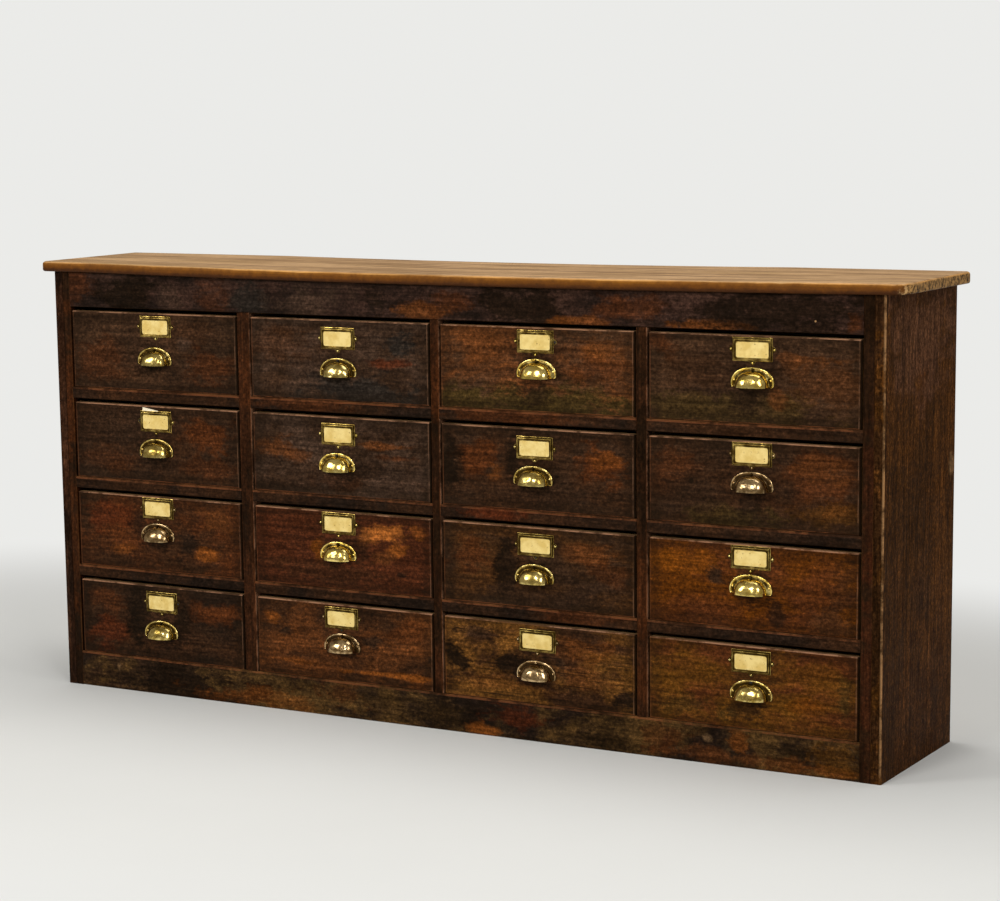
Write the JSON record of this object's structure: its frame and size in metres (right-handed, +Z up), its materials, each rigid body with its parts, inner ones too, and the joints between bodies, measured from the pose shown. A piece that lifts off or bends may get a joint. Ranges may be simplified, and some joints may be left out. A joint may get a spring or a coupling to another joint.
{
  "type": "bank of drawers",
  "caption": "Long low bank of equal drawers in dark stained pine with a waxed overhanging top, brass cup pulls, card frames and dovetailed drawer boxes on wooden runners.",
  "frame": {"origin": "on the floor, under the middle of the whole piece's box with the drawers closed", "axes": "+X along the front to the viewer's right, +Y from the front to the back, +Z up"},
  "size_m": [1.836, 0.369, 0.8625],
  "materials": {
    "waxed_pine": "satin",
    "dark_pine": "satin",
    "drawer_pine": "satin",
    "raw_pine": "matte",
    "brass": "satin",
    "card": "matte"
  },
  "bodies": {
    "cabinet": {"top_board": "waxed_pine", "left_side": "dark_pine", "right_side": "dark_pine", "stiles": "dark_pine", "top_rail": "dark_pine", "bottom_rail": "dark_pine", "muntins": "dark_pine", "cross_rails": "dark_pine", "partitions": "raw_pine", "runners_and_stops": "raw_pine", "back_boards": "raw_pine", "back_rails": "raw_pine"},
    "drawer_r1c1": {"drawer_r1c1_box": "drawer_pine", "drawer_r1c1_brasses": "brass", "drawer_r1c1_card": "card"},
    "drawer_r1c2": {"drawer_r1c2_box": "drawer_pine", "drawer_r1c2_brasses": "brass", "drawer_r1c2_card": "card"},
    "drawer_r1c3": {"drawer_r1c3_box": "drawer_pine", "drawer_r1c3_brasses": "brass", "drawer_r1c3_card": "card"},
    "drawer_r1c4": {"drawer_r1c4_box": "drawer_pine", "drawer_r1c4_brasses": "brass", "drawer_r1c4_card": "card"},
    "drawer_r2c1": {"drawer_r2c1_box": "drawer_pine", "drawer_r2c1_brasses": "brass", "drawer_r2c1_card": "card"},
    "drawer_r2c2": {"drawer_r2c2_box": "drawer_pine", "drawer_r2c2_brasses": "brass", "drawer_r2c2_card": "card"},
    "drawer_r2c3": {"drawer_r2c3_box": "drawer_pine", "drawer_r2c3_brasses": "brass", "drawer_r2c3_card": "card"},
    "drawer_r2c4": {"drawer_r2c4_box": "drawer_pine", "drawer_r2c4_brasses": "brass", "drawer_r2c4_card": "card"},
    "drawer_r3c1": {"drawer_r3c1_box": "drawer_pine", "drawer_r3c1_brasses": "brass", "drawer_r3c1_card": "card"},
    "drawer_r3c2": {"drawer_r3c2_box": "drawer_pine", "drawer_r3c2_brasses": "brass", "drawer_r3c2_card": "card"},
    "drawer_r3c3": {"drawer_r3c3_box": "drawer_pine", "drawer_r3c3_brasses": "brass", "drawer_r3c3_card": "card"},
    "drawer_r3c4": {"drawer_r3c4_box": "drawer_pine", "drawer_r3c4_brasses": "brass", "drawer_r3c4_card": "card"},
    "drawer_r4c1": {"drawer_r4c1_box": "drawer_pine", "drawer_r4c1_brasses": "brass", "drawer_r4c1_card": "card"},
    "drawer_r4c2": {"drawer_r4c2_box": "drawer_pine", "drawer_r4c2_brasses": "brass", "drawer_r4c2_card": "card"},
    "drawer_r4c3": {"drawer_r4c3_box": "drawer_pine", "drawer_r4c3_brasses": "brass", "drawer_r4c3_card": "card"},
    "drawer_r4c4": {"drawer_r4c4_box": "drawer_pine", "drawer_r4c4_brasses": "brass", "drawer_r4c4_card": "card"}
  },
  "joints": [
    {"name": "drawer_r1c1_slide", "type": "slide", "parent": "cabinet", "child": "drawer_r1c1", "axis": [0, -1, 0], "range_m": [0, 0.2]},
    {"name": "drawer_r1c2_slide", "type": "slide", "parent": "cabinet", "child": "drawer_r1c2", "axis": [0, -1, 0], "range_m": [0, 0.2]},
    {"name": "drawer_r1c3_slide", "type": "slide", "parent": "cabinet", "child": "drawer_r1c3", "axis": [0, -1, 0], "range_m": [0, 0.2]},
    {"name": "drawer_r1c4_slide", "type": "slide", "parent": "cabinet", "child": "drawer_r1c4", "axis": [0, -1, 0], "range_m": [0, 0.2]},
    {"name": "drawer_r2c1_slide", "type": "slide", "parent": "cabinet", "child": "drawer_r2c1", "axis": [0, -1, 0], "range_m": [0, 0.2]},
    {"name": "drawer_r2c2_slide", "type": "slide", "parent": "cabinet", "child": "drawer_r2c2", "axis": [0, -1, 0], "range_m": [0, 0.2]},
    {"name": "drawer_r2c3_slide", "type": "slide", "parent": "cabinet", "child": "drawer_r2c3", "axis": [0, -1, 0], "range_m": [0, 0.2]},
    {"name": "drawer_r2c4_slide", "type": "slide", "parent": "cabinet", "child": "drawer_r2c4", "axis": [0, -1, 0], "range_m": [0, 0.2]},
    {"name": "drawer_r3c1_slide", "type": "slide", "parent": "cabinet", "child": "drawer_r3c1", "axis": [0, -1, 0], "range_m": [0, 0.2]},
    {"name": "drawer_r3c2_slide", "type": "slide", "parent": "cabinet", "child": "drawer_r3c2", "axis": [0, -1, 0], "range_m": [0, 0.2]},
    {"name": "drawer_r3c3_slide", "type": "slide", "parent": "cabinet", "child": "drawer_r3c3", "axis": [0, -1, 0], "range_m": [0, 0.2]},
    {"name": "drawer_r3c4_slide", "type": "slide", "parent": "cabinet", "child": "drawer_r3c4", "axis": [0, -1, 0], "range_m": [0, 0.2]},
    {"name": "drawer_r4c1_slide", "type": "slide", "parent": "cabinet", "child": "drawer_r4c1", "axis": [0, -1, 0], "range_m": [0, 0.2]},
    {"name": "drawer_r4c2_slide", "type": "slide", "parent": "cabinet", "child": "drawer_r4c2", "axis": [0, -1, 0], "range_m": [0, 0.2]},
    {"name": "drawer_r4c3_slide", "type": "slide", "parent": "cabinet", "child": "drawer_r4c3", "axis": [0, -1, 0], "range_m": [0, 0.2]},
    {"name": "drawer_r4c4_slide", "type": "slide", "parent": "cabinet", "child": "drawer_r4c4", "axis": [0, -1, 0], "range_m": [0, 0.2]}
  ]
}
